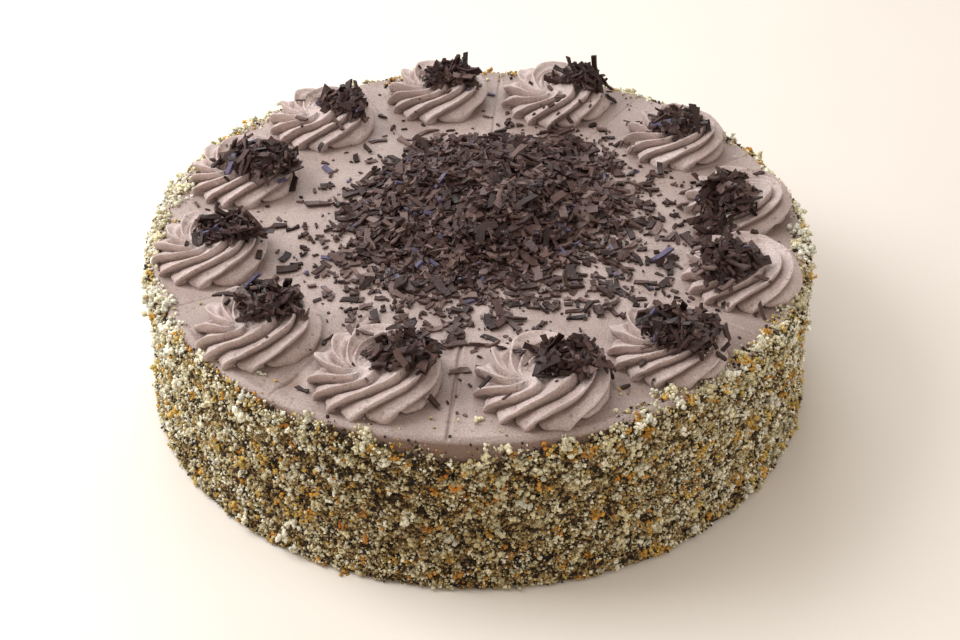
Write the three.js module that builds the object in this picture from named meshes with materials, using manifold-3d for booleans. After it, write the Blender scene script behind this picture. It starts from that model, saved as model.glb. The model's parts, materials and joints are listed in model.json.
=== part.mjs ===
// Chocolate cream cake: a round torte coated in cocoa cream, with crumbs pressed around its side,
// a ring of piped rosettes on top, and chocolate shavings on the rosettes and in a heap between them.
// Sizes are in millimetres. The cake stands on z = 0 about the origin, and its front faces -Y.

import * as THREE from 'three';
import { mergeVertices } from 'three/addons/utils/BufferGeometryUtils.js';
import Module from 'manifold-3d';

const wasm = await Module();
wasm.setup();

// Driving sizes
const CREAM_RADIUS = 129;
const CREAM_HEIGHT = 66;
const RIM_ROUNDING = 4;
const ROSETTE_RING = 105;
const ROSETTE_HEIGHT = 14;
const COAT_THICKNESS = 3.2;
const HEAP_HEIGHT = 5;
const GAP = 0.3;
const TOP = CREAM_HEIGHT + GAP;

// The piped ring, clockwise from the back: how far each rosette strays from an even place, in degrees
// and outwards, its radius, and its shavings: their middle from the rosette's, and how far they spread
const FIRST_BEARING = 100.5;
const ROSETTES = [
  { stray: -0.7, out: 0, radius: 22.5, shavings: [5, 0], spread: 11 },
  { stray: 0.6, out: 1.5, radius: 23.5, shavings: [9, 0], spread: 11 },
  { stray: -3.2, out: 1, radius: 21.5, shavings: [1, -1], spread: 13 },
  { stray: -3.1, out: 1, radius: 21, shavings: [-6, -6], spread: 15 },
  { stray: 0.3, out: 1, radius: 22, shavings: [-6, -4], spread: 15 },
  { stray: 0.5, out: 0, radius: 22, shavings: [2, -3], spread: 16 },
  { stray: 2.9, out: -2, radius: 24, shavings: [6, 1], spread: 11 },
  { stray: -0.3, out: -3, radius: 23.5, shavings: [7, 1], spread: 13 },
  { stray: 1, out: 1, radius: 22, shavings: [4, 5], spread: 13 },
  { stray: 0.4, out: 0.5, radius: 22, shavings: [6, 1], spread: 12 },
  { stray: -0.9, out: -2, radius: 22.5, shavings: [4, -3], spread: 17 },
  { stray: 0.3, out: -0.5, radius: 22, shavings: [9, 0], spread: 11 },
];

// One turn of a star nozzle: ridges leave an eye beside the middle and swing clockwise out to the edge.
// Each step of the profile has its reach from eye to edge, its share of the height, and its ridge depth.
const RIDGES = 12;
const EYE_SHIFT = 0.4;
const EYE_BEARING = THREE.MathUtils.degToRad(205);
const RIDGE_SWING = 1.2;
const FAR_SIDE_RISE = 0.12;
const ROSETTE_PROFILE = [
  [0.94, 0, 0.9],
  [0.97, 0.28, 1.2],
  [0.86, 0.62, 1.3],
  [0.66, 0.9, 1.2],
  [0.44, 0.97, 0.9],
  [0.22, 0.84, 0.5],
  [0, 0.62, 0],
];

// The heap between the rosettes is an oval with its long axis towards the back right
const HEAP_MIDDLE = [4, 12];
const HEAP_HALF_LENGTH = 74;
const HEAP_HALF_WIDTH = 61;
const HEAP_BEARING = THREE.MathUtils.degToRad(47);

const GOLDEN_ANGLE = Math.PI * (3 - Math.sqrt(5));
const random = THREE.MathUtils.seededRandom;
random(31);

function between(low, high) {
  return low + (high - low) * random();
}

function solid(geometry) {
  geometry.deleteAttribute('normal');
  geometry.deleteAttribute('uv');
  const merged = mergeVertices(geometry, 1e-4);
  const corners = merged.index.array;
  const triVerts = [];
  for (let at = 0; at < corners.length; at += 3) {
    const [a, b, c] = corners.slice(at, at + 3);
    if (a !== b && b !== c && c !== a) triVerts.push(a, b, c);
  }
  const vertProperties = merged.attributes.position.array;
  return new wasm.Manifold(new wasm.Mesh({ numProp: 3, vertProperties, triVerts: new Uint32Array(triVerts) }));
}

function largestBody(joined) {
  return joined.decompose().reduce((best, body) => (body.volume() > best.volume() ? body : best));
}

// Turns a profile of [reach, height] points about the z axis, then lets place() move each point
function turned(profile, columns, place) {
  const points = profile.map(([reach, height]) => new THREE.Vector2(reach, height));
  const geometry = new THREE.LatheGeometry(points, columns);
  const position = geometry.attributes.position;
  for (let at = 0; at < position.count; at++) {
    const column = Math.floor(at / points.length) % columns;
    position.setXYZ(at, ...place(column, at % points.length, (2 * Math.PI * column) / columns));
  }
  return solid(geometry);
}

// A shaving of chocolate: a thin chip, turned, tilted and set down at a point
function flake(length, width, tilt, [x, y, z]) {
  const chip = new THREE.BoxGeometry(length, width, 0.9);
  chip.rotateX(between(-tilt, tilt));
  chip.rotateY(between(-tilt, tilt));
  chip.rotateZ(between(0, Math.PI));
  return solid(chip.translate(x, y, z));
}

// A point of the heap's oval: share 1 is its edge
function heapPoint(share, bearing) {
  const along = HEAP_HALF_LENGTH * share * Math.cos(bearing);
  const across = HEAP_HALF_WIDTH * share * Math.sin(bearing);
  return [
    HEAP_MIDDLE[0] + along * Math.cos(HEAP_BEARING) - across * Math.sin(HEAP_BEARING),
    HEAP_MIDDLE[1] + along * Math.sin(HEAP_BEARING) + across * Math.cos(HEAP_BEARING),
  ];
}

const rosettes = ROSETTES.map((row, at) => {
  const bearing = THREE.MathUtils.degToRad(FIRST_BEARING - 30 * at + row.stray);
  const reach = ROSETTE_RING + row.out;
  const turn = between(0, (2 * Math.PI) / RIDGES);
  return { ...row, x: reach * Math.cos(bearing), y: reach * Math.sin(bearing), turn };
});

function clearOfRosettes(x, y, margin) {
  return rosettes.every((rosette) => Math.hypot(x - rosette.x, y - rosette.y) > rosette.radius + margin);
}

// Cream body: rounded rim, slice marks between the rosettes, and loose shavings lying on the top
function cakeBody() {
  const profile = [
    [0, 0],
    [CREAM_RADIUS, 0],
    [CREAM_RADIUS, CREAM_HEIGHT - RIM_ROUNDING],
    [CREAM_RADIUS - 0.3 * RIM_ROUNDING, CREAM_HEIGHT - 0.3 * RIM_ROUNDING],
    [CREAM_RADIUS - RIM_ROUNDING, CREAM_HEIGHT],
    [0, CREAM_HEIGHT],
  ];
  let body = turned(profile, 72, (column, step, angle) => {
    const [reach, height] = profile[step];
    return [reach * Math.cos(angle), reach * Math.sin(angle), height];
  });
  for (let mark = 0; mark < ROSETTES.length; mark++) {
    const groove = new THREE.CylinderGeometry(0.9, 0.9, CREAM_RADIUS - 72, 4);
    groove.translate(0, (CREAM_RADIUS + 68) / 2, 0);
    groove.rotateZ(THREE.MathUtils.degToRad(FIRST_BEARING - 105 + 30 * mark));
    body = body.subtract(solid(groove.translate(0, 0, CREAM_HEIGHT)));
  }
  const loose = 200;
  for (let at = 0; at < loose; at++) {
    const [x, y] = heapPoint(1.24 + (0.5 * at) / loose, at * GOLDEN_ANGLE);
    const length = between(7, 12);
    if (Math.hypot(x, y) < 104 && clearOfRosettes(x, y, 0.5 * length + 1.5)) {
      body = body.add(flake(length, between(2, 3.6), 0.12, [x, y, CREAM_HEIGHT + 0.2]));
    }
  }
  return largestBody(body);
}

// How high the crumbs climb: low along the front, over the rim at the sides, ragged everywhere
function coatTop(angle, ragged) {
  const front = Math.exp(-(((angle / Math.PI - 1.48) / 0.16) ** 2));
  return CREAM_HEIGHT - 1 - 7 * front + 2.2 * ragged;
}

// Crumb coat: an uneven ring around the side, wider at the foot, with the larger crumbs standing out
function crumbCoat() {
  const columns = 110;
  const rows = 6;
  const foot = 0.6;
  const inner = CREAM_RADIUS + GAP;
  const ragged = Array.from({ length: columns }, () => between(-1, 1));
  const bumps = Array.from({ length: columns * (rows + 2) }, () => between(-0.9, 0.9));
  const profile = [[inner, foot]];
  for (let row = 0; row <= rows; row++) {
    const rise = row / rows;
    const spill = 3 * (1 - rise) ** 4;
    const thickness = row === rows ? 0.6 * COAT_THICKNESS : COAT_THICKNESS;
    profile.push([inner + thickness + spill, rise]);
  }
  profile.push([inner, 1], [inner, foot]);
  let coat = turned(profile, columns, (column, step, angle) => {
    const [reach, rise] = profile[step];
    const outside = step > 0 && step < rows + 2;
    const bumpy = outside ? reach + bumps[column * (rows + 2) + step] : reach;
    const height = step === 0 || step === rows + 3 ? foot : foot + rise * (coatTop(angle, ragged[column]) - foot);
    return [bumpy * Math.cos(angle), bumpy * Math.sin(angle), height];
  });
  const crumbs = 54;
  for (let at = 0; at < crumbs; at++) {
    const angle = at * GOLDEN_ANGLE;
    const height = between(5, coatTop(angle % (2 * Math.PI), 0));
    const reach = inner + COAT_THICKNESS;
    const crumb = new THREE.IcosahedronGeometry(between(1.6, 2.7), 0).rotateZ(between(0, 6)).rotateX(between(0, 6));
    coat = coat.add(solid(crumb.translate(reach * Math.cos(angle), reach * Math.sin(angle), height)));
  }
  return largestBody(coat);
}

// Piped rosette: the turned profile is drawn out from the eye, its columns crest and groove by turns.
// With one column to a ridge it is the plain hood over the crests.
function rosetteSolid({ x, y, radius, turn }, columnsPerRidge) {
  const eye = new THREE.Vector2(Math.cos(EYE_BEARING), Math.sin(EYE_BEARING)).multiplyScalar(EYE_SHIFT * radius);
  const profile = [[0, 0, 0], ...ROSETTE_PROFILE];
  return turned(profile, columnsPerRidge * RIDGES, (column, step, angle) => {
    const [reach, height, depth] = profile[step];
    if (step === 0) return [x, y, TOP];
    const bearing = angle + turn - RIDGE_SWING * reach;
    const ray = new THREE.Vector2(Math.cos(bearing), Math.sin(bearing));
    const ahead = eye.dot(ray);
    const edge = Math.sqrt(ahead ** 2 + radius ** 2 - eye.lengthSq()) - ahead;
    const ridge = column % columnsPerRidge === 0 ? depth : -depth;
    const lean = (Math.PI / 2) * reach ** 2;
    const out = reach * (edge - 1) + ridge * Math.sin(lean);
    const lift = 1 - FAR_SIDE_RISE * reach * Math.cos(bearing - EYE_BEARING);
    const up = height > 0 ? height * lift * ROSETTE_HEIGHT + ridge * Math.cos(lean) : 0;
    return [x + eye.x + out * ray.x, y + eye.y + out * ray.y, TOP + up];
  });
}

// Shavings on a rosette: a small mound with chips standing out of it, bedded on the crests below
function rosetteShavings({ x, y, shavings, spread }, hood) {
  const middle = [x + shavings[0], y + shavings[1], TOP + 0.9 * ROSETTE_HEIGHT];
  const mound = new THREE.IcosahedronGeometry(1, 0).scale(0.85 * spread, 0.85 * spread, 5);
  let pile = solid(mound.translate(...middle));
  const chips = 6;
  for (let at = 0; at < chips; at++) {
    const angle = (2 * Math.PI * at) / chips;
    const share = at % 2 === 0 ? 0.85 : 0.45;
    const reach = 0.85 * spread * share;
    const height = middle[2] + 4.6 * (1 - share ** 2);
    const spot = [middle[0] + reach * Math.cos(angle), middle[1] + reach * Math.sin(angle), height];
    pile = pile.add(flake(between(9, 13), between(2.6, 4.2), 0.4, spot));
  }
  return largestBody(pile.subtract(hood.translate([0, 0, GAP])));
}

// Heap of shavings: a low oval mound with chips all over it, trimmed level with the cream below
function shavingsHeap() {
  const shares = [0, 0.4, 0.72, 0.92, 1];
  const columns = 22;
  const rise = (share) => HEAP_HEIGHT * (1 - share ** 3);
  const ragged = Array.from({ length: columns }, () => between(0.86, 0.98));
  const profile = [[0, 0], ...shares.toReversed().map((share) => [share, rise(share)])];
  let heap = turned(profile, columns, (column, step, angle) => {
    const [share, height] = profile[step];
    return [...heapPoint(share * ragged[column], angle), TOP + height];
  });
  const chips = 96;
  for (let at = 0; at < chips; at++) {
    const share = 0.97 * Math.sqrt((at + 0.5) / chips);
    const [x, y] = heapPoint(share, at * GOLDEN_ANGLE);
    const length = between(8, 14);
    if (clearOfRosettes(x, y, 0.5 * length + 1)) {
      heap = heap.add(flake(length, between(2.2, 4), 0.3, [x, y, TOP + rise(0.97 * share) + 0.3]));
    }
  }
  const below = new THREE.BoxGeometry(3 * CREAM_RADIUS, 3 * CREAM_RADIUS, 20).translate(0, 0, TOP - 10);
  return largestBody(heap.subtract(solid(below)));
}

const group = new THREE.Group();

function addNode(name, joined, color, roughness) {
  const { vertProperties, triVerts } = joined.getMesh();
  const geometry = new THREE.BufferGeometry();
  geometry.setAttribute('position', new THREE.BufferAttribute(vertProperties, 3));
  geometry.setIndex(new THREE.BufferAttribute(triVerts, 1));
  geometry.computeVertexNormals();
  const mesh = new THREE.Mesh(geometry, new THREE.MeshStandardMaterial({ color, roughness, metalness: 0 }));
  mesh.name = name;
  group.add(mesh);
}

const CREAM = 0xb59a8d;
const CRUMBS = 0xb09a70;
const CHOCOLATE = 0x3a2722;

addNode('cake_body', cakeBody(), CREAM, 0.6);
addNode('crumb_coat', crumbCoat(), CRUMBS, 0.9);
rosettes.forEach((rosette, at) => {
  const number = String(at + 1).padStart(2, '0');
  addNode(`rosette_${number}`, rosetteSolid(rosette, 2), CREAM, 0.55);
  addNode(`rosette_shavings_${number}`, rosetteShavings(rosette, rosetteSolid(rosette, 1)), CHOCOLATE, 0.5);
});
addNode('shavings_heap', shavingsHeap(), CHOCOLATE, 0.5);

export default group;
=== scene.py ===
"""Chocolate cream cake: its looks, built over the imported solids. Metres, +Z up, the front faces -Y."""

import json
import math

import bmesh
import bpy
import numpy as np
from mathutils import Euler, Matrix, Vector, noise
from mathutils.bvhtree import BVHTree

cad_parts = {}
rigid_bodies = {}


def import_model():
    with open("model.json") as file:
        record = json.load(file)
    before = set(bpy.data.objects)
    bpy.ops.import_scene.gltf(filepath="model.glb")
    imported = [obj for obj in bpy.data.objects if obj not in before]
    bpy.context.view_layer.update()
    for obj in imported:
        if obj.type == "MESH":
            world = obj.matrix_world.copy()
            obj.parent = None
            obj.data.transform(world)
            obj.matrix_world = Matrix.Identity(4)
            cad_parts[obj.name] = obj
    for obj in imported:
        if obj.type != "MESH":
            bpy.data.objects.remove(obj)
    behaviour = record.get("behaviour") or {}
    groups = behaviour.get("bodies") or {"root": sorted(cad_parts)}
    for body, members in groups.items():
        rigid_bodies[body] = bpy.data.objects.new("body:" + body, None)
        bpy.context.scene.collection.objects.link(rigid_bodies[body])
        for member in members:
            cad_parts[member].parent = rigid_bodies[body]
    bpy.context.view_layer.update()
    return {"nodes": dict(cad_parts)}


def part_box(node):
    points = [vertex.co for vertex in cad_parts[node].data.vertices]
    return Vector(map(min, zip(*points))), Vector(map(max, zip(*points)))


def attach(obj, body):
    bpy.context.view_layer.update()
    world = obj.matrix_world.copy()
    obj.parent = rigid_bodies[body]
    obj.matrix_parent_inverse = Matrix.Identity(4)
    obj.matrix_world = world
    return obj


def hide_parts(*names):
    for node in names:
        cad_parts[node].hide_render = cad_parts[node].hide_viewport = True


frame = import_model()

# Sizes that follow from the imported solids; the top of the cream lies a little below the rosettes' feet
MM = 0.001
NUMBERS = [f"{number:02d}" for number in range(1, 13)]
BODY_LOW, BODY_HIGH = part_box("cake_body")
SIDE = (BODY_HIGH.x - BODY_LOW.x) / 2
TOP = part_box("rosette_01")[0].z - 0.3 * MM

# Marks and dents in the cream: one slice mark between every two rosettes, as bearings
SLICE_MARKS = [math.radians(85.5 + 30 * mark) for mark in range(12)]
FRONT_MARK = 6
DENT_PLACE = np.array([-64.8, -96.5]) * MM
DENT_REACH = np.array([5, 6.5]) * MM

# The heap is thickest a little behind its middle and to the left
HEAP_DRIFT = Vector((-4, 5, 0)) * MM

# Tints and shades from 0 to 1 stay this far from the edges of a piece's own map
MAP_MARGIN = 0.03
MAP_SPAN = 1 - 2 * MAP_MARGIN

SEED = 20
FULL_TURN = 2 * math.pi


# Small helpers


def tone(red, green, blue):
    """A colour given by its 0 to 255 values on a screen, as linear light with full alpha."""
    shares = np.array([red, green, blue]) / 255
    linear = np.where(shares <= 0.04045, shares / 12.92, ((shares + 0.055) / 1.055) ** 2.4)
    return (*linear.tolist(), 1.0)


def uneven(points, grain, seed=0.0):
    """Smooth noise from -1 to 1 at each point, with lumps about as large as grain."""
    return np.array([noise.noise(Vector(point) / grain + Vector((seed, seed, seed))) for point in points])


def middle_of(node):
    """The middle of a solid's box."""
    low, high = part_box(node)
    return (low + high) / 2


def outline_of(node, bearings=72):
    """How far a solid reaches from its middle, seen from above, at evenly spaced bearings."""
    centre = middle_of(node)
    offsets = np.array([corner.co - centre for corner in frame["nodes"][node].data.vertices])[:, :2]
    around = np.linspace(0, FULL_TURN, bearings, endpoint=False)
    return (offsets @ np.stack([np.cos(around), np.sin(around)])).max(axis=0)


def reach_at(outline, bearing):
    """The reach of an outline at one bearing or at many."""
    around = np.linspace(0, FULL_TURN, len(outline) + 1)
    return np.interp(np.mod(bearing, FULL_TURN), around, np.append(outline, outline[0]))


def new_piece(name, vertices, faces, material, smooth=True):
    """A new object with a mesh of these corners and faces."""
    mesh = bpy.data.meshes.new(name)
    mesh.from_pydata(np.asarray(vertices).tolist(), [], np.asarray(faces).tolist())
    if smooth:
        mesh.shade_smooth()
    else:
        mesh.shade_flat()
    mesh.materials.append(material)
    piece = bpy.data.objects.new(name, mesh)
    bpy.context.collection.objects.link(piece)
    return piece


def ring_faces(count, columns):
    """Corner numbers of the faces between rings of points, each ring closed on itself."""
    row, column = np.meshgrid(np.arange(count - 1), np.arange(columns), indexing="ij")
    after = (column + 1) % columns
    corners = [row * columns + column, row * columns + after]
    corners += [(row + 1) * columns + after, (row + 1) * columns + column]
    return np.stack(corners, -1).reshape(-1, 4)


def ring_at(reach, bearing, height):
    """A ring of points at these bearings, with one reach and height or one for each point."""
    return np.stack(np.broadcast_arrays(reach * np.cos(bearing), reach * np.sin(bearing), height), 1)


def wrapped(name, rows, material, **marks):
    """A closed piece from rings of points, with marks kept per point. A ring in one point is a pole."""
    piece = new_piece(name, rows.reshape(-1, 3), ring_faces(*rows.shape[:2]), material)
    for mark, values in marks.items():
        piece.data.attributes.new(mark, "FLOAT", "POINT").data.foreach_set("value", np.ravel(values))
    shell = bmesh.new()
    shell.from_mesh(piece.data)
    bmesh.ops.remove_doubles(shell, verts=shell.verts, dist=1e-6)
    bmesh.ops.recalc_face_normals(shell, faces=shell.faces)
    shell.to_mesh(piece.data)
    shell.free()
    return piece


def settle(piece, node):
    """Ties a finished piece to the cake's body and hides the solid that it stands for."""
    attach(piece, "root")
    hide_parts(node)


# Node trees


class Field:
    """A number that a node tree works out, so that a rule reads as a sum."""

    def __init__(self, socket):
        self.socket = socket

    def math(self, operation, *others):
        inputs = dict(enumerate((self, *others)))
        made = add(self.socket.id_data, "ShaderNodeMath", inputs, operation=operation)
        return Field(made.outputs[0])

    def held(self, low=0.0, high=1.0):
        """The number, kept between two limits."""
        return self.math("MAXIMUM", low).math("MINIMUM", high)

    def __add__(self, other):
        return self.math("ADD", other)

    def __sub__(self, other):
        return self.math("SUBTRACT", other)

    def __mul__(self, other):
        return self.math("MULTIPLY", other)

    def __truediv__(self, other):
        return self.math("DIVIDE", other)

    def __pow__(self, other):
        return self.math("POWER", other)

    def __neg__(self):
        return self * -1


def feed(tree, socket, value):
    """Links a socket to a field or to another socket, or sets it to a plain value."""
    if isinstance(value, Field):
        value = value.socket
    if isinstance(value, bpy.types.NodeSocket):
        tree.links.new(value, socket)
    else:
        socket.default_value = value


def add(tree, kind, inputs, **settings):
    """Adds a node with its settings, and feeds its inputs by name or place."""
    node = tree.nodes.new(kind)
    for name, value in settings.items():
        setattr(node, name, value)
    for name, value in inputs.items():
        feed(tree, node.inputs[name], value)
    return node


def part_of(tree, vector, axis):
    """One of the three numbers of a vector."""
    return Field(add(tree, "ShaderNodeSeparateXYZ", {0: vector}).outputs[axis])


def curve_of(field, points):
    """A field passed through a smooth curve that runs through these points."""
    made = add(field.socket.id_data, "ShaderNodeFloatCurve", {"Value": field})
    curve = made.mapping.curves[0]
    for at, value in points[1:-1]:
        curve.points.new(at, value)
    for point, (at, value) in zip(curve.points, points):
        point.location = (at, value)
        point.handle_type = "AUTO_CLAMPED"
    made.mapping.update()
    return Field(made.outputs[0])


def patchy(tree, place, pick, per_metre, detail):
    """Soft noise from 0 to 1 over a place, another one for each pick."""
    inputs = {"Vector": place, "W": pick, "Scale": per_metre, "Detail": detail}
    return Field(add(tree, "ShaderNodeTexNoise", inputs, noise_dimensions="4D").outputs["Fac"])


def carried(tree, name, kind="FLOAT"):
    """What the points of a mesh carry under this name."""
    return add(tree, "GeometryNodeInputNamedAttribute", {"Name": name}, data_type=kind).outputs[0]


def moved_by(tree, geometry, direction, distance):
    """Geometry whose points move along their direction by a distance."""
    offset = add(tree, "ShaderNodeVectorMath", {0: direction, "Scale": distance}, operation="SCALE")
    moved = {"Geometry": geometry, "Offset": offset.outputs[0]}
    return add(tree, "GeometryNodeSetPosition", moved).outputs[0]


def new_tree(name, sockets):
    """A geometry tree with named inputs. Returns the tree, its input node and its output node."""
    tree = bpy.data.node_groups.new(name, "GeometryNodeTree")
    tree.interface.new_socket("Geometry", in_out="INPUT", socket_type="NodeSocketGeometry")
    for socket, kind in sockets.items():
        tree.interface.new_socket(socket, in_out="INPUT", socket_type=f"NodeSocket{kind}")
    tree.interface.new_socket("Geometry", in_out="OUTPUT", socket_type="NodeSocketGeometry")
    return tree, tree.nodes.new("NodeGroupInput"), tree.nodes.new("NodeGroupOutput")


def grown(name, tree, values, ground=None):
    """A plain mesh piece: what a geometry tree makes of the ground with these values."""
    base = bpy.data.objects.new(f"{name}_base", ground or bpy.data.meshes.new(f"{name}_base"))
    bpy.context.collection.objects.link(base)
    growth = base.modifiers.new("growth", "NODES")
    growth.node_group = tree
    for socket in tree.interface.items_tree:
        if socket.name in values:
            growth[socket.identifier] = values[socket.name]
    shaped = base.evaluated_get(bpy.context.evaluated_depsgraph_get())
    mesh = bpy.data.meshes.new_from_object(shaped)
    mesh.name = name
    bpy.data.objects.remove(base)
    piece = bpy.data.objects.new(name, mesh)
    bpy.context.collection.objects.link(piece)
    return piece


# Finishes


def finish_of(name, roughness, **constants):
    """A new material. Returns it with its tree, its shader and its object coordinates."""
    material = bpy.data.materials.new(name)
    material.use_nodes = True
    tree = material.node_tree
    shader = tree.nodes["Principled BSDF"]
    shader.inputs["Roughness"].default_value = roughness
    for socket, value in constants.items():
        shader.inputs[socket.replace("_", " ")].default_value = value
    place = tree.nodes.new("ShaderNodeTexCoord").outputs["Object"]
    return material, tree, shader, place


def ramp_of(tree, value, stops):
    """A colour for a value, blended between stops of (value, colour)."""
    made = add(tree, "ShaderNodeValToRGB", {"Fac": value})
    elements = made.color_ramp.elements
    while len(elements) < len(stops):
        elements.new(0.5)
    for element, (at, colour) in zip(elements, stops):
        element.position = at
        element.color = colour
    return made.outputs["Color"]


def grey(level):
    """A grey that darkens or brightens what it is multiplied with."""
    return (level, level, level, 1)


def speckle_group():
    """Shared effect: scattered small dots, as a mask that is 1 inside a dot."""
    tree = bpy.data.node_groups.new("Scattered dots", "ShaderNodeTree")
    sockets = {"Place": "Vector", "Dots per metre": "Float", "Dot size": "Float", "Share": "Float"}
    for socket, kind in sockets.items():
        tree.interface.new_socket(socket, in_out="INPUT", socket_type=f"NodeSocket{kind}")
    tree.interface.new_socket("Mask", in_out="OUTPUT", socket_type="NodeSocketFloat")
    given = tree.nodes.new("NodeGroupInput").outputs
    cells = add(tree, "ShaderNodeTexVoronoi", {"Vector": given["Place"], "Scale": given["Dots per metre"]})
    kept = Field(cells.outputs["Color"]).math("LESS_THAN", given["Share"])
    inside = Field(cells.outputs["Distance"]).math("LESS_THAN", given["Dot size"])
    feed(tree, tree.nodes.new("NodeGroupOutput").inputs["Mask"], kept * inside)
    return tree


SPECKLE = speckle_group()


def dots(tree, place, per_metre, size, share):
    """A mask of scattered dots; the size is a share of their distance."""
    made = add(tree, "ShaderNodeGroup", {}, node_tree=SPECKLE)
    values = {"Place": place, "Dots per metre": per_metre, "Dot size": size, "Share": share}
    for socket, value in values.items():
        feed(tree, made.inputs[socket], value)
    return Field(made.outputs["Mask"])


def mixed(tree, share, first, second, blend="MIX"):
    """Two colours mixed; the node has them as its inputs 6 and 7 and its output 2."""
    inputs = {"Factor": share, 6: first, 7: second}
    return add(tree, "ShaderNodeMix", inputs, data_type="RGBA", blend_type=blend).outputs[2]


def clouds(tree, place, per_metre, detail=3.0):
    """Soft noise from 0 to 1 over the surface."""
    made = add(tree, "ShaderNodeTexNoise", {"Vector": place, "Scale": per_metre, "Detail": detail})
    return Field(made.outputs["Fac"])


def raised(tree, shader, height, depth):
    """Gives a surface fine relief from a height between 0 and 1."""
    bump = add(tree, "ShaderNodeBump", {"Height": height, "Distance": depth, "Strength": 1.0})
    feed(tree, shader.inputs["Normal"], bump.outputs["Normal"])


def own_spot(tree):
    """What each shaving or crumb carries in its own map: its tint as X and its shade as Y."""
    own_map = add(tree, "ShaderNodeUVMap", {}, uv_map="OFBake")
    return add(tree, "ShaderNodeSeparateXYZ", {0: own_map.outputs[0]}).outputs


def cream_finish(name, dull, bright):
    """Whipped cocoa cream: a soft pinkish brown with pores, tiny bubbles and specks of cocoa; the pores and
    the side below the top edge carry painted shade.
    """
    material, tree, shader, place = finish_of(name, 0.55, Subsurface_Weight=0.04, Subsurface_Scale=0.003)
    shader.inputs["Subsurface Radius"].default_value = (1.0, 0.6, 0.45)
    broad = clouds(tree, place, per_metre=45)
    colour = ramp_of(tree, broad, [(0.3, dull), (0.7, bright)])
    fine = clouds(tree, place, per_metre=1500, detail=2.0)
    grain = ramp_of(tree, fine, [(0.3, (0.74, 0.72, 0.7, 1)), (0.7, grey(1.14))])
    colour = mixed(tree, 1.0, colour, grain, "MULTIPLY")
    # Below the top edge the side is painted darker and browner: partly painted shade on the side, partly a
    # browner smear of cream
    below = ((-part_of(tree, place, "Z") + TOP - 0.7 * MM) / (1.2 * MM)).held()
    colour = mixed(tree, below * 0.8, colour, tone(116, 88, 74))
    # The pores are painted darker: painted shade in the small holes, which the bump also sinks
    pores = dots(tree, place, per_metre=420, size=0.28, share=0.3)
    colour = mixed(tree, pores * 0.35, colour, tone(112, 86, 76))
    cocoa = dots(tree, place, per_metre=150, size=0.1, share=0.14)
    colour = mixed(tree, cocoa * 0.8, colour, tone(62, 44, 36))
    feed(tree, shader.inputs["Base Color"], colour)
    soft = clouds(tree, place, per_metre=230, detail=2.0)
    raised(tree, shader, fine * 0.6 + soft * 0.6 - pores * 0.35, 0.5 * MM)
    return material


def chocolate_finish():
    """Dark chocolate: dull breaks with a faint sheen, each shaving with its own tone; a few take a bluish
    tone, a painted reflection.
    """
    material, tree, shader, place = finish_of("dark_chocolate", 0.5, Specular_IOR_Level=0.3)
    spot = own_spot(tree)
    tones = [
        (0.0, tone(24, 10, 7)),
        (0.5, tone(70, 48, 43)),
        (0.93, tone(117, 94, 88)),
        # The last, bluish tone is a painted reflection of cool light
        (0.96, tone(86, 78, 102)),
    ]
    bloom = dots(tree, place, per_metre=620, size=0.22, share=0.07)
    colour = mixed(tree, bloom * 0.6, ramp_of(tree, spot["X"], tones), tone(182, 170, 170))
    feed(tree, shader.inputs["Base Color"], colour)
    feed(tree, shader.inputs["Roughness"], Field(spot["Y"]) * 0.35 + 0.35)
    raised(tree, shader, clouds(tree, place, per_metre=800, detail=4.0), 0.4 * MM)
    return material


def dust_finish():
    """Chocolate dust under the heap: dark and dull, with paler bits."""
    material, tree, shader, place = finish_of("chocolate_dust", 0.8, Specular_IOR_Level=0.2)
    grains = clouds(tree, place, per_metre=600, detail=4.0)
    tones = [(0.35, tone(20, 12, 9)), (0.7, tone(48, 33, 27))]
    feed(tree, shader.inputs["Base Color"], ramp_of(tree, grains, tones))
    raised(tree, shader, grains, 1.5 * MM)
    return material


def crumb_finish(name, tones):
    """Dry crumbs of one kind, each with its own tone and brightness."""
    material, tree, shader, place = finish_of(name, 0.85)
    spot = own_spot(tree)
    stops = [(at / (len(tones) - 1), colour) for at, colour in enumerate(tones)]
    hue = ramp_of(tree, spot["X"], stops)
    bright = ramp_of(tree, spot["Y"], [(0.0, grey(0.72)), (1.0, grey(1.3))])
    pores = clouds(tree, place, per_metre=1500, detail=2.0)
    # Painted shade: each crumb darkens where its fine relief sinks into pits
    painted_pit_shade = ramp_of(tree, pores, [(0.35, (0.55, 0.5, 0.42, 1)), (0.52, grey(1))])
    colour = mixed(tree, 1.0, mixed(tree, 1.0, hue, bright, "MULTIPLY"), painted_pit_shade, "MULTIPLY")
    feed(tree, shader.inputs["Base Color"], colour)
    raised(tree, shader, pores, 0.5 * MM)
    return material


def bed_finish():
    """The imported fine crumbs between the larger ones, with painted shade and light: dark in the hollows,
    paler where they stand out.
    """
    material, tree, shader, place = finish_of("packed_crumbs", 0.9)
    relief = Field(add(tree, "ShaderNodeAttribute", {}, attribute_name="relief").outputs["Fac"])
    grains = add(tree, "ShaderNodeTexVoronoi", {"Vector": place, "Scale": 1100})
    pick = Field(add(tree, "ShaderNodeSeparateColor", {0: grains.outputs["Color"]}).outputs["Red"])
    # Painted light: paler towards the left and right sides, where more light falls
    painted_side_light = part_of(tree, place, "X").math("ABSOLUTE") / SIDE
    broad = clouds(tree, place, per_metre=95, detail=1.0)
    # Painted shade: the tone darkens where the relief is low, in the hollows between crumbs
    level = relief * 0.5 + pick * 0.6 + broad * 0.8 + painted_side_light * 0.08 - 0.46
    tones = [
        (0.25, tone(28, 17, 4)),
        (0.48, tone(92, 66, 28)),
        (0.72, tone(166, 140, 92)),
        (0.96, tone(224, 210, 172)),
    ]
    feed(tree, shader.inputs["Base Color"], ramp_of(tree, level, tones))
    raised(tree, shader, -Field(grains.outputs["Distance"]), 0.9 * MM)
    return material


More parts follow.
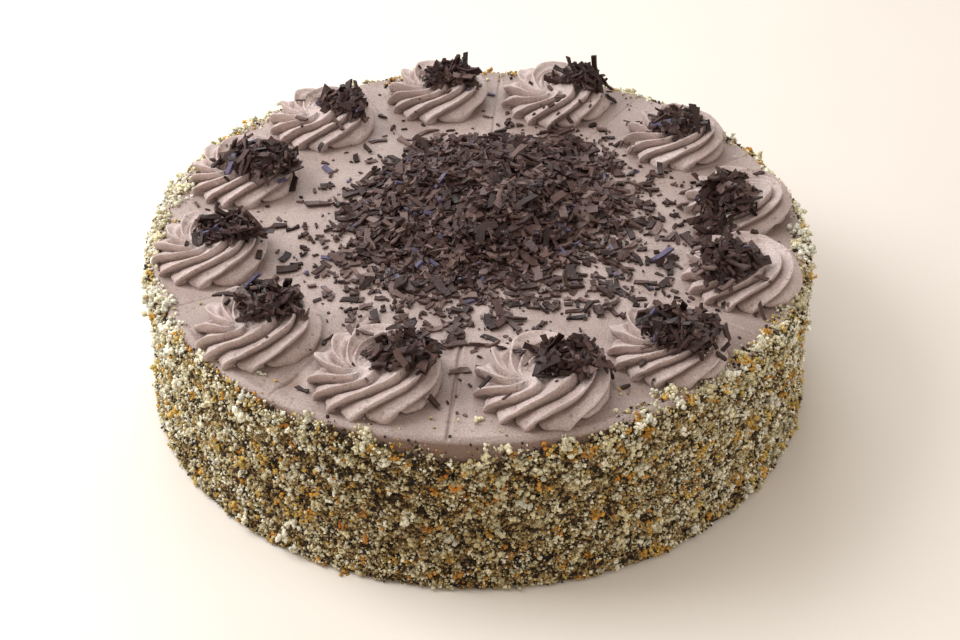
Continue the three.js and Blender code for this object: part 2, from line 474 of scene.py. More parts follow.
SPREAD_CREAM = cream_finish("spread_cocoa_cream", tone(152, 133, 126), tone(176, 158, 151))
# The piped cream is the same cream painted lighter: painted light that fills the shade in the rosettes'
# grooves
PIPED_CREAM_PAINTED_LIGHTER = cream_finish("piped_cocoa_cream", tone(179, 160, 154), tone(203, 185, 180))
CHOCOLATE = chocolate_finish()
DUST = dust_finish()
BED = bed_finish()
CRUMB_TONES = {
    "pale": [tone(192, 178, 132), tone(222, 212, 174), tone(246, 244, 228)],
    "tan": [tone(134, 106, 56), tone(172, 147, 94), tone(206, 190, 142)],
    "dark": [tone(26, 16, 5), tone(43, 29, 12), tone(70, 48, 22)],
    "golden": [tone(182, 108, 30), tone(204, 148, 54), tone(220, 192, 106)],
}


# Cream body


def cream_relief(ring, radius, away, cut):
    """How far the top rises or sinks along a ring: its swells, thin lip, slice marks and dent.

    Away is the distance of each point from the nearest slice mark in mm, and cut the depth of that mark.
    """
    swell = 0.45 * MM * uneven(ring, 22 * MM) + 0.2 * MM * uneven(ring, 7 * MM, 5.0)
    lip = math.exp(-(((radius - SIDE + 2.6 * MM) / (1.1 * MM)) ** 2))
    lips = 0.7 * MM * lip * (0.7 + 0.9 * uneven(ring, 30 * MM, 9.0))
    marked = np.clip((radius / MM - 64) / 10, 0, 1) * np.clip((SIDE - radius) / (2 * MM), 0, 1)
    groove = 0.3 * np.exp(-(((away - 1.3) / 0.5) ** 2)) - 0.85 * np.exp(-((away / 0.55) ** 2))
    groove *= marked * cut * MM
    from_dent = np.hypot(*((ring[:, :2] - DENT_PLACE) / DENT_REACH).T)
    dent = 0.5 * np.exp(-(((from_dent - 1.3) / 0.35) ** 2)) - 1.4 * np.exp(-1.2 * from_dent**2)
    return swell + lips + groove + dent * MM


def cream_body():
    """The coated cake: an uneven top with slice marks, a soft rim with a thin lip, and the side below."""
    depths = np.random.default_rng(SEED + 3).uniform(0.15, 0.6, len(SLICE_MARKS))
    depths[FRONT_MARK] = 1.0
    near_mark = np.array([-2.6, -1.7, -1.1, -0.7, -0.35, 0, 0.35, 0.7, 1.1, 1.7, 2.6]) * MM
    between = np.radians(np.linspace(2.9, 27.1, 38))
    away = np.tile([*np.abs(near_mark / MM), *np.full(len(between), 9.0)], len(SLICE_MARKS))
    cut = np.repeat(depths, len(near_mark) + len(between))

    rim = 2.2 * MM
    arc = np.radians(np.linspace(90, 0, 9))
    flat = np.concatenate([np.linspace(0, 56, 8), np.linspace(58, (SIDE - rim) / MM - 1, 64)]) * MM
    side = np.linspace(TOP - rim - 2 * MM, 0.6 * MM, 15)
    straight = np.full(len(side), SIDE)
    reach = np.concatenate([flat, SIDE - rim + rim * np.cos(arc), straight, [SIDE - 1 * MM, 0]])
    height = np.concatenate([np.full(len(flat), TOP), TOP - rim + rim * np.sin(arc), side, [0, 0]])
    rows = []
    for radius, level in zip(reach, height):
        beside = near_mark / max(radius, 62 * MM)
        bearings = np.concatenate([[*(mark + beside), *(mark + between)] for mark in SLICE_MARKS])
        ring = ring_at(radius, bearings, level)
        if level > TOP - rim and radius > 0:
            ring[:, 2] += cream_relief(ring, radius, away, cut)
        elif level > 0:
            pushed = 1 + 0.45 * MM / SIDE * uneven(ring, 14 * MM, 3.0)
            ring[:, :2] *= pushed[:, None]
        rows.append(ring)
    return wrapped("cream_body", np.array(rows), SPREAD_CREAM)


# Piped rosettes


def rosette_tree():
    """One turn of a star nozzle: ridges fan out of one eye and sweep around a swirl at the other side."""
    names = ("Radius", "Height", "Ridge depth", "Turn", "Fan reach", "Swirl", "Phase", "Wander")
    sockets = {name: "Float" for name in names}
    tree, given, out = new_tree("Piped rosette", {**sockets, "Middle": "Vector", "Material": "Material"})
    size = {name: Field(given.outputs[name]) for name in sockets}
    radius = size["Radius"]
    columns = 330
    rings = 68
    ridges = 9
    swirl_at = 0.28
    front = math.radians(-57)

    # A sheet of points is wrapped into rings from the crown to the foot; the last ring closes the underside
    sheet = {"Size X": 1.0, "Size Y": 1.0, "Vertices X": columns, "Vertices Y": rings}
    grid = add(tree, "GeometryNodeMeshGrid", sheet)
    spot = add(tree, "ShaderNodeSeparateXYZ", {0: tree.nodes.new("GeometryNodeInputPosition").outputs[0]})
    row = (Field(spot.outputs["Y"]) + 0.5) * (rings - 1)
    above = row.math("LESS_THAN", rings - 1.5)
    along = (row / (rings - 2)).math("MINIMUM", 1.0)
    outward_line = [(0, 0), (0.3, 0.34), (0.7, 0.83), (0.86, 0.965), (0.95, 1.0), (1, 0.95)]
    upward_line = [(0, 1), (0.3, 0.98), (0.52, 0.9), (0.7, 0.7), (0.84, 0.42), (0.94, 0.17), (1, 0)]
    reach = curve_of(along, outward_line) * above
    rise = curve_of(along, upward_line) * above
    shear = (reach + 0.15).math("LOGARITHM", math.e) * size["Swirl"] * 0.15
    bearing = Field(spot.outputs["X"]) * FULL_TURN - shear
    x = bearing.math("COSINE") * reach * radius
    y = bearing.math("SINE") * reach * radius
    axis = (size["Turn"] + 50).math("RADIANS")

    def from_eye(share):
        """Bearing and distance of the surface from an eye on the axis, in shares of the radius."""
        over = x / radius - axis.math("COSINE") * share
        up = y / radius - axis.math("SINE") * share
        return up.math("ARCTAN2", over), (over * over + up * up).math("SQRT")

    def clear_of(far, smallest, slope):
        """Fades the ridges out where they would crowd around an eye."""
        return ((far - smallest) * slope).held()

    def dip(far, spread, depth):
        """The hollow that the crown has at an eye."""
        return (-(far * far) / spread).math("EXPONENT") * depth

    fan_bearing, fan_far = from_eye(-size["Fan reach"])
    swirl_bearing, swirl_far = from_eye(swirl_at)
    dips = dip(swirl_far, 0.05, 0.4) + dip(fan_far, 0.03, 0.12)
    z = size["Height"] * rise * (-dips + 1)
    place = add(tree, "ShaderNodeCombineXYZ", {"X": x, "Y": y, "Z": z}).outputs[0]
    lumps = patchy(tree, place, size["Wander"], per_metre=95.0, detail=2.0) - 0.5

    # The ridges lean over like folds, more so and more swept towards the front
    crowded_left = fan_bearing + (fan_bearing - math.radians(200)).math("SINE") * 0.3
    turned = crowded_left * ridges - swirl_bearing + size["Phase"]
    to_front = (x * math.cos(front) + y * math.sin(front)) / radius
    swept = (to_front * 0.55 + 0.44).held(0.12, 1.0)
    to_swirl = (swirl_far + 0.03).math("LOGARITHM", math.e)
    to_fan = (fan_far + 0.03).math("LOGARITHM", math.e) * 0.55
    down_flank = (along - 0.55).math("MAXIMUM", 0.0) * 13
    step = turned + (to_swirl + to_fan) * size["Swirl"] * swept + down_flank + lumps * 2.6
    leaning = step - step.math("COSINE") * 0.78
    crest = (leaning * 0.5).math("COSINE").math("ABSOLUTE") ** (-swept * 1.2 + 2.1)
    fade = curve_of(along, [(0, 0.4), (0.4, 0.8), (0.75, 1), (0.93, 0.95), (1, 0.85)]) * above
    eased = clear_of(fan_far, 0.01, 1.9) * clear_of(swirl_far, 0.14, 2.4)
    push = (crest - 0.55) * fade * eased * size["Ridge depth"] + lumps * 1.6 * MM

    kept = {"Geometry": grid.outputs["Mesh"], "Name": "push", "Value": push}
    ridge = add(tree, "GeometryNodeStoreNamedAttribute", kept, data_type="FLOAT")
    drawn = add(tree, "GeometryNodeSetPosition", {"Geometry": ridge.outputs[0], "Position": place})
    outward = add(tree, "GeometryNodeFlipFaces", {"Mesh": drawn.outputs[0]})
    closed = add(tree, "GeometryNodeMergeByDistance", {"Geometry": outward.outputs[0], "Distance": 1e-6})
    normal = tree.nodes.new("GeometryNodeInputNormal").outputs[0]
    ridged = moved_by(tree, closed.outputs[0], normal, carried(tree, "push"))
    placed = {"Geometry": ridged, "Translation": given.outputs["Middle"]}
    moved = add(tree, "GeometryNodeTransform", placed)
    smooth = add(tree, "GeometryNodeSetShadeSmooth", {"Geometry": moved.outputs[0]})
    real = add(tree, "GeometryNodeRealizeInstances", {"Geometry": smooth.outputs[0]})
    coated = {"Geometry": real.outputs[0], "Material": given.outputs["Material"]}
    feed(tree, out.inputs["Geometry"], add(tree, "GeometryNodeSetMaterial", coated).outputs[0])
    return tree


def piped_rosettes():
    """One rosette for each packed one, each with its own turn, swirl and ridges."""
    tree = rosette_tree()
    random = np.random.default_rng(SEED)
    pieces = []
    for number in NUMBERS:
        low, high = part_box(f"rosette_{number}")
        centre = middle_of(f"rosette_{number}")
        values = {
            "Radius": (high.x - low.x + high.y - low.y) / 4 - 0.6 * MM,
            "Height": (high.z - low.z) * 0.74,
            "Ridge depth": random.uniform(5.4, 6.4) * MM,
            "Turn": random.uniform(-14, 14),
            "Fan reach": random.uniform(0.26, 0.4),
            "Swirl": random.uniform(19, 23),
            "Phase": random.uniform(0, 6.28),
            "Wander": random.uniform(0, 9),
            "Middle": (centre.x, centre.y, TOP - 0.3 * MM),
            "Material": PIPED_CREAM_PAINTED_LIGHTER,
        }
        piece = grown(f"piped_rosette_{number}", tree, values)
        settle(piece, f"rosette_{number}")
        pieces.append(piece)
    return pieces


# Crumbs around the side


def coat_top(bearing):
    """How high the crumbs climb: low along the front, over the rim at the right and up to it elsewhere."""
    degrees = [0, 60, 135, 160, 180, 205, 230, 241, 249, 253, 259, 267, 276, 283, 286, 293, 302, 330]
    climb = [1.5, 0.5, 0.8, 3.5, 3, 1, -2, -3.5, -2, -3, -7, -9, -8.5, -2, -4, 1.5, 4, 2.5]
    return TOP + MM * np.interp(np.degrees(bearing), degrees, climb, period=360)


def coat_rows(columns, levels):
    """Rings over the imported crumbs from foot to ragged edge, with how far each point stands out."""
    bearing = np.linspace(0, FULL_TURN, columns, endpoint=False)
    around = ring_at(SIDE, bearing, 0)
    ragged = 1.5 * uneven(around, 3 * MM) + 1.3 * uneven(around, 9 * MM, 6.0) - 1.2
    summit = np.minimum(coat_top(bearing), TOP - 1 * MM) + ragged * MM
    foot = 0.9 * MM
    rows = []
    reliefs = []
    for share in np.linspace(0, 1, levels):
        height = foot + share * (summit - foot)
        reach = SIDE + (1.7 + 3.2 * (1 - share) ** 5) * MM
        spots = ring_at(reach, bearing, height)
        relief = 0.45 * uneven(spots, 4.5 * MM, 2.0) + 0.65 * uneven(spots, 2 * MM)
        rows.append(ring_at(reach + 1.5 * MM * relief, bearing, height))
        reliefs.append(relief)
    return bearing, rows, reliefs


def crumb_bed():
    """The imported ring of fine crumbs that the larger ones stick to."""
    bearing, rows, reliefs = coat_rows(columns=1200, levels=78)
    under = SIDE - 1 * MM
    inside = [ring_at(under, bearing, rows[-1][:, 2] + 0.2 * MM), ring_at(under, bearing, rows[0][:, 2])]
    reliefs = [*reliefs, 0 * bearing, 0 * bearing, reliefs[0]]
    return wrapped("crumb_bed", np.array([*rows, *inside, rows[0]]), BED, relief=np.array(reliefs) + 0.5)


def crumb_ground():
    """The surface that crumbs lie on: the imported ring, the cream above it, the rim and the edge of the top.

    Cover says how thickly they lie at each point, and edge how near it is to where they end.
    """
    bearing, rows, reliefs = coat_rows(columns=960, levels=64)
    cover = [0.6 + 1.1 * relief for relief in reliefs]
    edge = [np.full(len(bearing), 0.12 + 0.9 * share**12) for share in np.linspace(0, 1, len(rows))]
    summit = rows[-1][:, 2]
    steps = [(0.0, np.maximum(summit, np.minimum(summit + 1.6 * MM, TOP - 1.4 * MM)))]
    for depth in np.array([0.6, 1.8, 3.5, 6, 10, 16]) * MM:
        steps.append((depth, TOP - max(0, 3 * MM - depth) * 0.6 + 0.2 * MM))
    for depth, level in steps:
        rows.append(ring_at(SIDE - depth, bearing, level))
        bare = (level - coat_top(bearing) + 0.8 * depth) / (2.6 * MM)
        cover.append(0.75 - bare + 0.9 * uneven(rows[-1], 9 * MM, 4.0))
        edge.append(np.ones(len(bearing)))
    ground = bpy.data.meshes.new("crumb_ground")
    ground.from_pydata(np.concatenate(rows).tolist(), [], ring_faces(len(rows), len(bearing)).tolist())
    stray = 0.008
    for name, values in {"cover": np.clip(cover, 0, 1) + stray, "edge": np.array(edge)}.items():
        ground.attributes.new(name, "FLOAT", "POINT").data.foreach_set("value", values.ravel())
    return ground


def crumb_shapes(name, count, lobes):
    """Rough crumbs about one unit across, each of jagged lobes grown together, in their own collection."""
    random = np.random.default_rng(SEED + 1)
    shapes = bpy.data.collections.new(name)
    tips = np.concatenate([np.eye(3), -np.eye(3)])
    sides = np.array([(0, 1, 2), (1, 3, 2), (3, 4, 2), (4, 0, 2), (1, 0, 5), (3, 1, 5), (4, 3, 5), (0, 4, 5)])
    faces = np.concatenate([sides + len(tips) * lobe for lobe in range(lobes)])
    size = 0.55 / lobes**0.3
    for number in range(count):
        points = []
        for lobe in range(lobes):
            turn = np.array(Euler(random.uniform(0, FULL_TURN, 3)).to_matrix())
            jagged = tips * random.uniform(0.65, 1.3, (len(tips), 1)) * size
            points.append(jagged @ turn + random.normal(0, 0.26, 3) * (lobes > 1))
        points = np.concatenate(points)
        mesh = bpy.data.meshes.new(f"{name}_{number}")
        mesh.from_pydata(points.tolist(), [], faces.tolist())
        mesh.shade_smooth()
        spread = mesh.attributes.new("spread", "FLOAT_VECTOR", "POINT")
        spread.data.foreach_set("vector", 0.02 * points.ravel())
        shapes.objects.link(bpy.data.objects.new(mesh.name, mesh))
    return shapes


def crumb_tree():
    """Crumbs of one kind, scattered over the ground by its cover and in patches, most of them small."""
    names = ("Per square metre", "Smallest", "Largest", "Patch level", "Stand out", "Edge share")
    sockets = {name: "Float" for name in names}
    others = {"Seed": "Int", "Shapes": "Collection", "Shape count": "Int", "Material": "Material"}
    tree, given, out = new_tree("Scattered crumbs", {**sockets, **others})
    seed = Field(given.outputs["Seed"])
    place = tree.nodes.new("GeometryNodeInputPosition").outputs[0]

    def chance(pick):
        """A number from 0 to 1 for each crumb, another one for each pick."""
        made = add(tree, "FunctionNodeRandomValue", {"Seed": seed + pick}, data_type="FLOAT")
        return Field(made.outputs["Value"])

    # Where the crumbs lie
    in_patches = patchy(tree, place, seed, per_metre=160.0, detail=1.0)
    patch = ((in_patches - given.outputs["Patch level"]) * 12 + 0.5).held(0.06, 1.0)
    at_edge = (Field(carried(tree, "edge")) - 1) * given.outputs["Edge share"] + 1
    density = Field(carried(tree, "cover")) * patch * at_edge * given.outputs["Per square metre"]
    scatter = {"Mesh": given.outputs["Geometry"], "Density": density, "Seed": given.outputs["Seed"]}
    points = add(tree, "GeometryNodeDistributePointsOnFaces", scatter).outputs
    out_by = chance(6) * patch * given.outputs["Stand out"]
    spread_out = moved_by(tree, points["Points"], points["Normal"], out_by)

    # One of the shapes at each place, with its own size and turn
    smallest = given.outputs["Smallest"]
    size = chance(1) ** 2.2 * (Field(given.outputs["Largest"]) - smallest) + smallest
    any_turn = {"Seed": seed + 2, "Max": (6.28, 6.28, 6.28)}
    turn = add(tree, "FunctionNodeRandomValue", any_turn, data_type="FLOAT_VECTOR")
    shapes = {"Collection": given.outputs["Shapes"], "Separate Children": True, "Reset Children": True}
    pick = (chance(3) * given.outputs["Shape count"]).math("FLOOR")
    laid = {
        "Points": spread_out,
        "Instance": add(tree, "GeometryNodeCollectionInfo", shapes).outputs[0],
        "Pick Instance": True,
        "Instance Index": pick,
        "Rotation": turn.outputs[0],
        "Scale": size,
    }
    crumbs = add(tree, "GeometryNodeInstanceOnPoints", laid).outputs[0]

    # Each crumb's tint, painted paler towards the left and right sides as painted light, and its shade
    blotches = patchy(tree, place, seed + 5, per_metre=120.0, detail=1.0)
    painted_side_light = part_of(tree, place, "X").math("ABSOLUTE") / SIDE
    tint = (chance(4) * 0.7 + blotches * 1.5 + painted_side_light * 0.4 - 0.7).held()
    for name, value in {"tint": tint, "shade": chance(5)}.items():
        values = {"Geometry": crumbs, "Name": name, "Value": value}
        stored = add(tree, "GeometryNodeStoreNamedAttribute", values, data_type="FLOAT", domain="INSTANCE")
        crumbs = stored.outputs[0]

    # Real crumbs that stay above the ground, with tint and shade in their own map
    real = add(tree, "GeometryNodeRealizeInstances", {"Geometry": crumbs})
    at = add(tree, "ShaderNodeSeparateXYZ", {0: place})
    lifted = Field(at.outputs["Z"]).math("MAXIMUM", 0.15 * MM)
    stood = add(tree, "ShaderNodeCombineXYZ", {"X": at.outputs["X"], "Y": at.outputs["Y"], "Z": lifted})
    above = {"Geometry": real.outputs[0], "Position": stood.outputs[0]}
    standing = add(tree, "GeometryNodeSetPosition", above)
    spread = add(tree, "ShaderNodeSeparateXYZ", {0: carried(tree, "spread", "FLOAT_VECTOR")})
    across = Field(carried(tree, "tint")) * MAP_SPAN + MAP_MARGIN + spread.outputs["X"]
    upward = Field(carried(tree, "shade")) * MAP_SPAN + MAP_MARGIN + spread.outputs["Y"]
    spot = add(tree, "ShaderNodeCombineXYZ", {"X": across, "Y": upward})
    own_map = {"Geometry": standing.outputs[0], "Name": "OFBake", "Value": spot.outputs[0]}
    mapped = add(tree, "GeometryNodeStoreNamedAttribute", own_map, data_type="FLOAT2", domain="CORNER")
    coated = {"Geometry": mapped.outputs[0], "Material": given.outputs["Material"]}
    feed(tree, out.inputs["Geometry"], add(tree, "GeometryNodeSetMaterial", coated).outputs[0])
    return tree


def crumb_coat():
    """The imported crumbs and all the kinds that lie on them."""
    settle(crumb_bed(), "crumb_coat")
    grains = crumb_shapes("grains", count=9, lobes=1)
    clumps = crumb_shapes("clumps", count=6, lobes=8)
    tree = crumb_tree()
    ground = crumb_ground()
    # Shapes, tones, crumbs per square metre, smallest and largest in mm, noise level that starts a patch,
    # how far they stand out in mm, and how much they keep to the upper edge
    kinds = {
        "pale_crumbs": (grains, "pale", 1050000, 0.6, 2.05, 0.48, 1.1, 0.0),
        "tan_crumbs": (grains, "tan", 700000, 0.6, 1.8, 0.46, 0.7, 0.0),
        "dark_crumbs": (grains, "dark", 800000, 0.5, 1.7, 0.5, 1.0, 0.0),
        "golden_crumbs": (grains, "golden", 1250000, 0.8, 2.3, 0.645, 1.2, 0.0),
        "pale_clumps": (clumps, "pale", 130000, 2.2, 5.6, 0.46, 0.5, 0.9),
        "golden_clumps": (clumps, "golden", 100000, 1.8, 5.0, 0.6, 0.5, 0.4),
    }
    for at, (name, kind) in enumerate(kinds.items()):
        shapes, tones, amount, smallest, largest, patch, out, edge = kind
        values = {
            "Per square metre": float(amount),
            "Smallest": smallest * MM,
            "Largest": largest * MM,
            "Patch level": patch,
            "Stand out": out * MM,
            "Edge share": edge,
            "Seed": SEED + 10 * at,
            "Shapes": shapes,
            "Shape count": len(shapes.objects),
            "Material": crumb_finish(name, CRUMB_TONES[tones]),
        }
        settle(grown(name, tree, values, ground), "crumb_coat")
    for shapes in (grains, clumps):
        for shape in list(shapes.objects):
            bpy.data.objects.remove(shape)
        bpy.data.collections.remove(shapes)


# Chocolate shavings


class Ground:
    """Heights over the top of the cake, on a grid, that rise as shavings come to lie on it."""

    STEP = 0.7 * MM

    def __init__(self, pieces):
        self.cells = int(2 * SIDE / self.STEP)
        vertices = []
        faces = []
        for piece in pieces:
            first = len(vertices)
            faces.extend([[first + corner for corner in face.vertices] for face in piece.data.polygons])
            vertices.extend([corner.co for corner in piece.data.vertices])
        tree = BVHTree.FromPolygons(vertices, faces)
        self.height = np.full((self.cells, self.cells), TOP)
        down = Vector((0, 0, -1))
        for row in range(self.cells):
            for column in range(self.cells):
                start = Vector((row * self.STEP - SIDE, column * self.STEP - SIDE, TOP + 0.1))
                hit = tree.ray_cast(start, down)[0]
                if hit is not None:
                    self.height[row, column] = hit.z

    def under(self, x, y):
        """The grid cells under these places."""
        row = np.clip(((x + SIDE) / self.STEP).round().astype(int), 0, self.cells - 1)
        column = np.clip(((y + SIDE) / self.STEP).round().astype(int), 0, self.cells - 1)
        return row, column

    def lay(self, x, y, yaw, length, width, thick, loose):
        """Rests a chip on what is there. Returns its height and its slopes along and across.

        The ground rises under it by the loose share of the room that it takes up.
        """
        along = np.linspace(-0.5, 0.5, max(3, int(length / self.STEP) + 1))[:, None] * length
        across = np.linspace(-0.5, 0.5, max(3, int(width / self.STEP) + 1))[None, :] * width
        spots = self.under(
            x + along * math.cos(yaw) - across * math.sin(yaw),
            y + along * math.sin(yaw) + across * math.cos(yaw),
        )
        found = self.height[spots]
        half = len(along) // 2
        wide = across.shape[1] // 2
        slope = np.clip((found[-half:].max() - found[:half].max()) / (0.7 * length), -0.8, 0.8)
        bank = np.clip((found[:, -wide:].max() - found[:, :wide].max()) / (0.8 * width), -0.5, 0.5) * 0.5
        level = np.percentile(found - along * slope - across * bank, 80)
        above = np.maximum(level + along * slope + across * bank + thick - found, 0)
        self.height[spots] = found + loose * above
        return level + 0.5 * thick, slope, bank


def chip_faces(stations):
    """Corner numbers of one chip: its top, underside, edges and ends, over stations of four corners each."""
    ring = [0, 1, 3, 2]
    faces = [ring]
    end = 4 * (stations - 1)
    for start in range(0, end, 4):
        for corner, after in zip(ring, ring[1:] + ring[:1]):
            faces.append([start + corner, start + 4 + corner, start + 4 + after, start + after])
    faces.append([end + 2, end + 3, end + 1, end])
    return np.array(faces)


def chip_shape(random, stations, length, width, thick, curl):
    """One shaving: a thin uneven strip with ragged ends, bowed, warped and curled along its length."""
    along = np.linspace(-0.5, 0.5, stations)
    bow = random.normal(0, 0.04) * length * (4 * along**2 - 0.33)
    rise = curl * length * (4 * along**2 - 0.33)
    points = np.zeros((stations, 2, 2, 3))
    for side, way in enumerate((-1, 1)):
        half = 0.5 * width * random.uniform(0.72, 1.1, stations)
        points[:, side, :, 0] = (along * length)[:, None]
        points[[0, -1], side, :, 0] += random.uniform(-0.14, 0.12, (2, 1)) * length
        points[:, side, :, 1] = (bow + way * half)[:, None]
        points[:, side, :, 2] = (rise + way * random.normal(0, 0.14) * width * along)[:, None]
    points[:, :, :, 2] += random.normal(0, 0.25, (stations, 2, 1)) * thick
    points[:, :, 1, 2] += thick
    points[:, :, :, 2] -= 0.5 * thick
    return points.reshape(-1, 3)


def shavings(name, random, ground, spots, sizes, steep, loose, paleness):
    """A piece of shavings laid one by one on the ground at these spots, with these lengths."""
    templates = {stations: chip_faces(stations) for stations in (2, 3)}
    vertices = []
    faces = []
    places = []
    count = 0
    for (x, y), length in zip(spots, sizes):
        stations = 3 if length > 3.4 * MM else 2
        width = min(length * random.uniform(0.15, 0.44), 3.2 * MM) + 0.4 * MM
        thick = min(random.uniform(0.5, 1.15) * MM, 0.4 * length)
        yaw = random.uniform(0, FULL_TURN)
        level, slope, bank = ground.lay(x, y, yaw, length, width, thick, loose)
        curl = random.normal(0, 0.02) if random.random() < 0.9 else random.uniform(0.05, 0.13)
        tilt = random.normal(0, steep)
        roll = math.atan(bank) + random.normal(0, 1.3 * steep)
        turn = Matrix.Rotation(yaw, 3, "Z") @ Matrix.Rotation(-math.atan(slope) - tilt, 3, "Y")
        turn = np.array(turn @ Matrix.Rotation(roll, 3, "X"))
        lifted = level + 0.3 * length * abs(math.sin(tilt))
        faces.extend(templates[stations] + count)
        vertices.append(chip_shape(random, stations, length, width, thick, curl) @ turn.T + (x, y, lifted))
        drift = np.stack(np.meshgrid(np.linspace(-1, 1, stations), np.linspace(-1, 1, 4), indexing="ij"), -1)
        # Two in a hundred shavings take the last, bluish tone: a painted reflection
        tint = 1.0 if random.random() < 0.02 else random.beta(1.6, 1.6 / paleness)
        spot = np.array([tint, random.random()]) * MAP_SPAN + MAP_MARGIN
        places.append(spot + 0.012 * drift.reshape(-1, 2))
        count += 4 * stations
    piece = new_piece(name, np.concatenate(vertices), faces, CHOCOLATE, smooth=False)
    corners = np.empty(len(piece.data.loops), int)
    piece.data.loops.foreach_get("vertex_index", corners)
    own_map = piece.data.uv_layers.new(name="OFBake")
    own_map.uv.foreach_set("vector", np.concatenate(places)[corners].ravel())
    return piece


def lengths_of(random, count, mix):
    """Lengths of shavings in a random order, from rows of (share of the count, shortest, longest) in mm."""
    lengths = [random.uniform(low, high, int(round(count * share))) for share, low, high in mix]
    return random.permutation(np.concatenate(lengths)) * MM


def spots_in(random, count, centre, outline, blur):
    """Spots spread evenly inside an outline, whose edge is blurred by a share of its reach."""
    bearing = random.uniform(0, FULL_TURN, count)
    share = np.sqrt(random.uniform(0, 1, count)) * (1 + blur * random.normal(0, 1, count))
    reach = share * reach_at(outline, bearing)
    return np.stack([centre.x + reach * np.cos(bearing), centre.y + reach * np.sin(bearing)], 1)


def heap_core():
    """The low dark mound of dust and broken bits inside the heap."""
    centre = middle_of("shavings_heap") + HEAP_DRIFT
    outline = 0.6 * outline_of("shavings_heap")
    bearing = np.linspace(0, FULL_TURN, 144, endpoint=False)
    rows = [np.tile((centre.x, centre.y, TOP - 1 * MM), (len(bearing), 1))]
    for share in (*np.linspace(1, 0.02, 40), 0):
        ring = ring_at(share * reach_at(outline, bearing), bearing, 0.0) + (centre.x, centre.y, 0)
        ring[:, 2] = TOP - 0.8 * MM + (2.6 * (1 - share**3) + 0.9 * uneven(ring, 5 * MM)) * MM
        rows.append(ring if share else np.tile(ring[0], (len(bearing), 1)))
    return wrapped("shaving_core", np.array(rows), DUST)


def shaving_heap(random, ground):
    """The wide, low heap in the middle."""
    centre = middle_of("shavings_heap") + HEAP_DRIFT
    outline = 0.68 * outline_of("shavings_heap")
    mix = [(0.04, 7.5, 11), (0.24, 4.8, 7.5), (0.34, 3, 4.8), (0.38, 1.3, 3)]
    lengths = lengths_of(random, 6600, mix)
    spots = spots_in(random, len(lengths), centre, outline, blur=0.22)
    piece = shavings("shaving_heap", random, ground, spots, lengths, steep=0.23, loose=0.5, paleness=0.85)
    settle(piece, "shavings_heap")


def rosette_piles(random, ground):
    """A pile of larger shavings on each rosette."""
    mix = [(0.06, 7.5, 11), (0.38, 4.2, 7.5), (0.56, 1.6, 4.2)]
    for number in NUMBERS:
        node = f"rosette_shavings_{number}"
        outline = outline_of(node)
        count = 250 * (outline.mean() / (11 * MM)) ** 2
        lengths = lengths_of(random, count, mix)
        spots = spots_in(random, len(lengths), middle_of(node), outline, blur=0.15)
        name = f"rosette_shavings_{number}_pile"
        piece = shavings(name, random, ground, spots, lengths, steep=0.44, loose=0.5, paleness=0.55)
        settle(piece, node)


def loose_shavings(random, ground):
    """Shavings that fell around the heap and thin out towards the rosettes, reaching farthest in front."""
    centre = middle_of("shavings_heap")
    outline = 0.76 * outline_of("shavings_heap")
    rings = [(middle_of(f"rosette_{number}"), outline_of(f"rosette_{number}").mean()) for number in NUMBERS]
    spots = []
    while len(spots) < 2100:
        x, y = random.uniform(-SIDE, SIDE, 2)
        bearing = math.atan2(y - centre.y, x - centre.x)
        away = math.hypot(x - centre.x, y - centre.y) - reach_at(outline, bearing)
        thinning = (14 + 7 * math.cos(bearing - math.radians(290))) * MM
        piped = any(math.hypot(x - ring.x, y - ring.y) < reach + 1 * MM for ring, reach in rings)
        share = (0.02 + math.exp(-max(away, 0) / thinning)) * (0.4 if piped else 1)
        if random.random() < share and math.hypot(x, y) < SIDE - 9 * MM and away > -5 * MM:
            spots.append((x, y))
    mix = [(0.06, 6.5, 10.5), (0.2, 3.6, 6.5), (0.29, 2, 3.6), (0.45, 0.8, 2)]
    lengths = lengths_of(random, len(spots), mix)
    piece = shavings("loose_shavings", random, ground, spots, lengths, steep=0.07, loose=0.4, paleness=0.9)
    settle(piece, "cake_body")


# Stage


def pale_floor():
    """A wide plain floor."""
    material, tree, shader, place = finish_of("pale_floor", 0.7)
    tones = [(0.3, tone(222, 214, 204)), (0.7, tone(230, 222, 212))]
    feed(tree, shader.inputs["Base Color"], ramp_of(tree, clouds(tree, place, per_metre=3), tones))
    bound = 6.0
    corners = [(-bound, -bound, 0), (bound, -bound, 0), (bound, bound, 0), (-bound, bound, 0)]
    floor = new_piece("floor", corners, [(0, 1, 2, 3)], material)


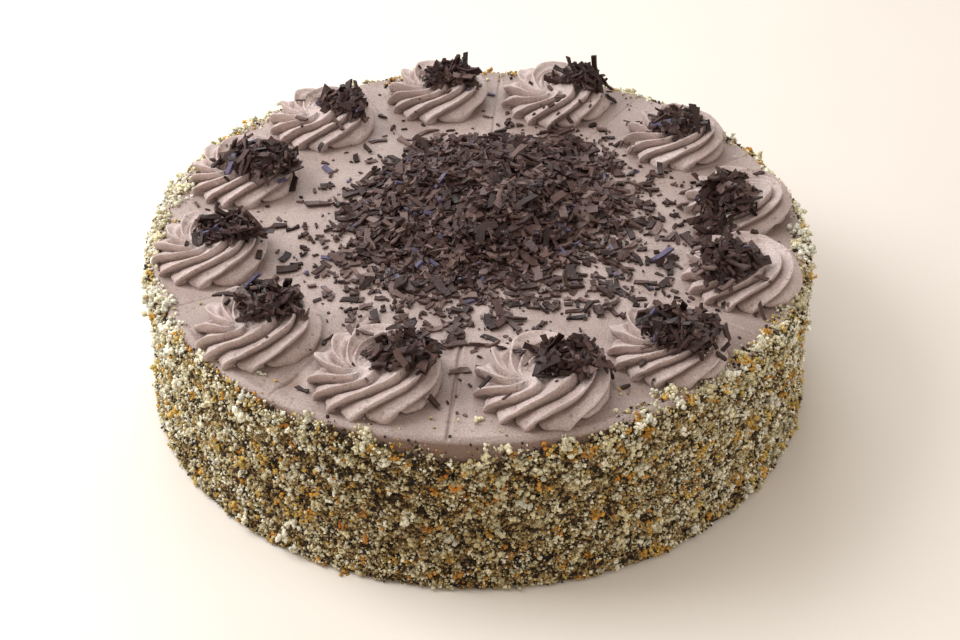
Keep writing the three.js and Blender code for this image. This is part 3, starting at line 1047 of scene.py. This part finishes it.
def facing(place, target):
    """The turn that points a lamp or a camera at a target."""
    return (Vector(target) - Vector(place)).to_track_quat("-Z", "Y").to_euler()


def soft_lights():
    """Warm light from all around, and large cool lamps that face the cake."""
    world = bpy.data.worlds.new("soft_room")
    world.use_nodes = True
    background = world.node_tree.nodes["Background"]
    background.inputs["Color"].default_value = (1.0, 0.89, 0.79, 1)
    background.inputs["Strength"].default_value = 0.53
    bpy.context.scene.world = world

    # Place, size, power and colour of each lamp
    lights = {
        "window": ((-0.6, 0.1, 0.6), 0.5, 6.6, (0.94, 0.97, 1.0)),
        "ceiling": ((-0.4, 0.1, 1.4), 1.0, 6, (0.94, 0.97, 1.0)),
        "back": ((-0.2, 1.6, 1.0), 1.0, 12, (0.9, 0.95, 1.0)),
        "right_side": ((1.6, -0.3, 0.7), 0.6, 5.0, (0.95, 0.98, 1.0)),
        "front": ((0.2, -1.8, 1.0), 1.0, 3.2, (1.0, 0.93, 0.84)),
    }
    for name, (spot, size, power, colour) in lights.items():
        light = bpy.data.lights.new(name, "AREA")
        light.size = size
        light.energy = power
        light.color = colour
        lamp = bpy.data.objects.new(name, light)
        lamp.location = spot
        lamp.rotation_euler = facing(spot, (0, 0, 0.05))
        bpy.context.collection.objects.link(lamp)


def photo_camera():
    """A camera in front of the cake, looking down on it as the photograph does."""
    lens = bpy.data.cameras.new("camera")
    lens.lens = 60.9
    lens.sensor_width = 36
    camera = bpy.data.objects.new("camera", lens)
    camera.location = (0.0021, -0.5382, 0.4264)
    camera.rotation_euler = facing(camera.location, (0.0006, 0, 0.0197))
    bpy.context.collection.objects.link(camera)
    bpy.context.scene.camera = camera
    bpy.context.scene.view_settings.view_transform = "Standard"


body = cream_body()
settle(body, "cake_body")
rosettes = piped_rosettes()
crumb_coat()
core = heap_core()
settle(core, "shavings_heap")
top = Ground([body, core, *rosettes])
draw = np.random.default_rng(SEED + 2)
loose_shavings(draw, top)
shaving_heap(draw, top)
rosette_piles(draw, top)
pale_floor()
soft_lights()
photo_camera()
